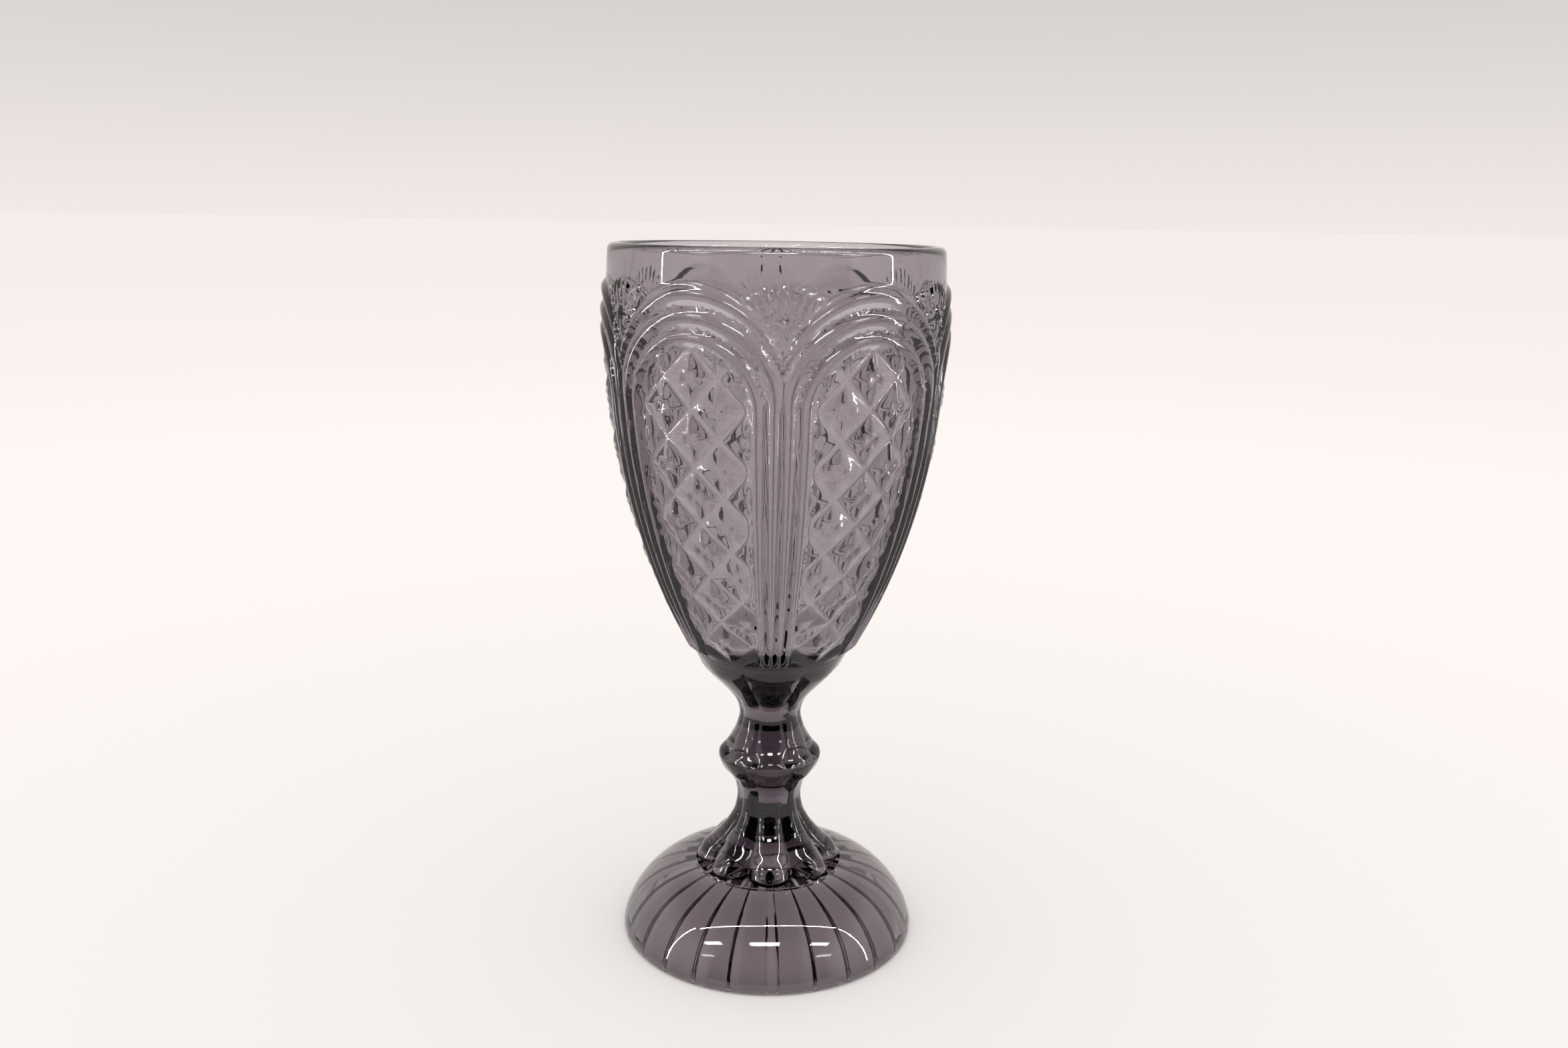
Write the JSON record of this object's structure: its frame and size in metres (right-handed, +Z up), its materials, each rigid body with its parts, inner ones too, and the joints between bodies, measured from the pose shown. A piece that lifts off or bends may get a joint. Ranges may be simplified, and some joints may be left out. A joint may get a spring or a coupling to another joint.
{
  "type": "water goblet",
  "caption": "Stemmed water goblet in smoky pressed glass, with a domed hollow foot, an eight-lobed stem with a knop, and a deep bowl with arches, fans and a diamond lattice in relief.",
  "frame": {"origin": "centre of the flat ring that the foot rests on, on the goblet's axis", "axes": "+Z up along the goblet's axis; -Y through the middle of the fan that faces the viewer; +X to the viewer's right"},
  "size_m": [0.081, 0.081, 0.17],
  "materials": {
    "smoky_glass": "fire-polished pressed glass tinted smoky mauve grey through its whole thickness"
  },
  "bodies": {
    "root": {"foot": "smoky_glass", "lower_stem": "smoky_glass", "knop": "smoky_glass", "upper_stem": "smoky_glass", "calyx": "smoky_glass", "bowl": "smoky_glass"}
  },
  "joints": []
}
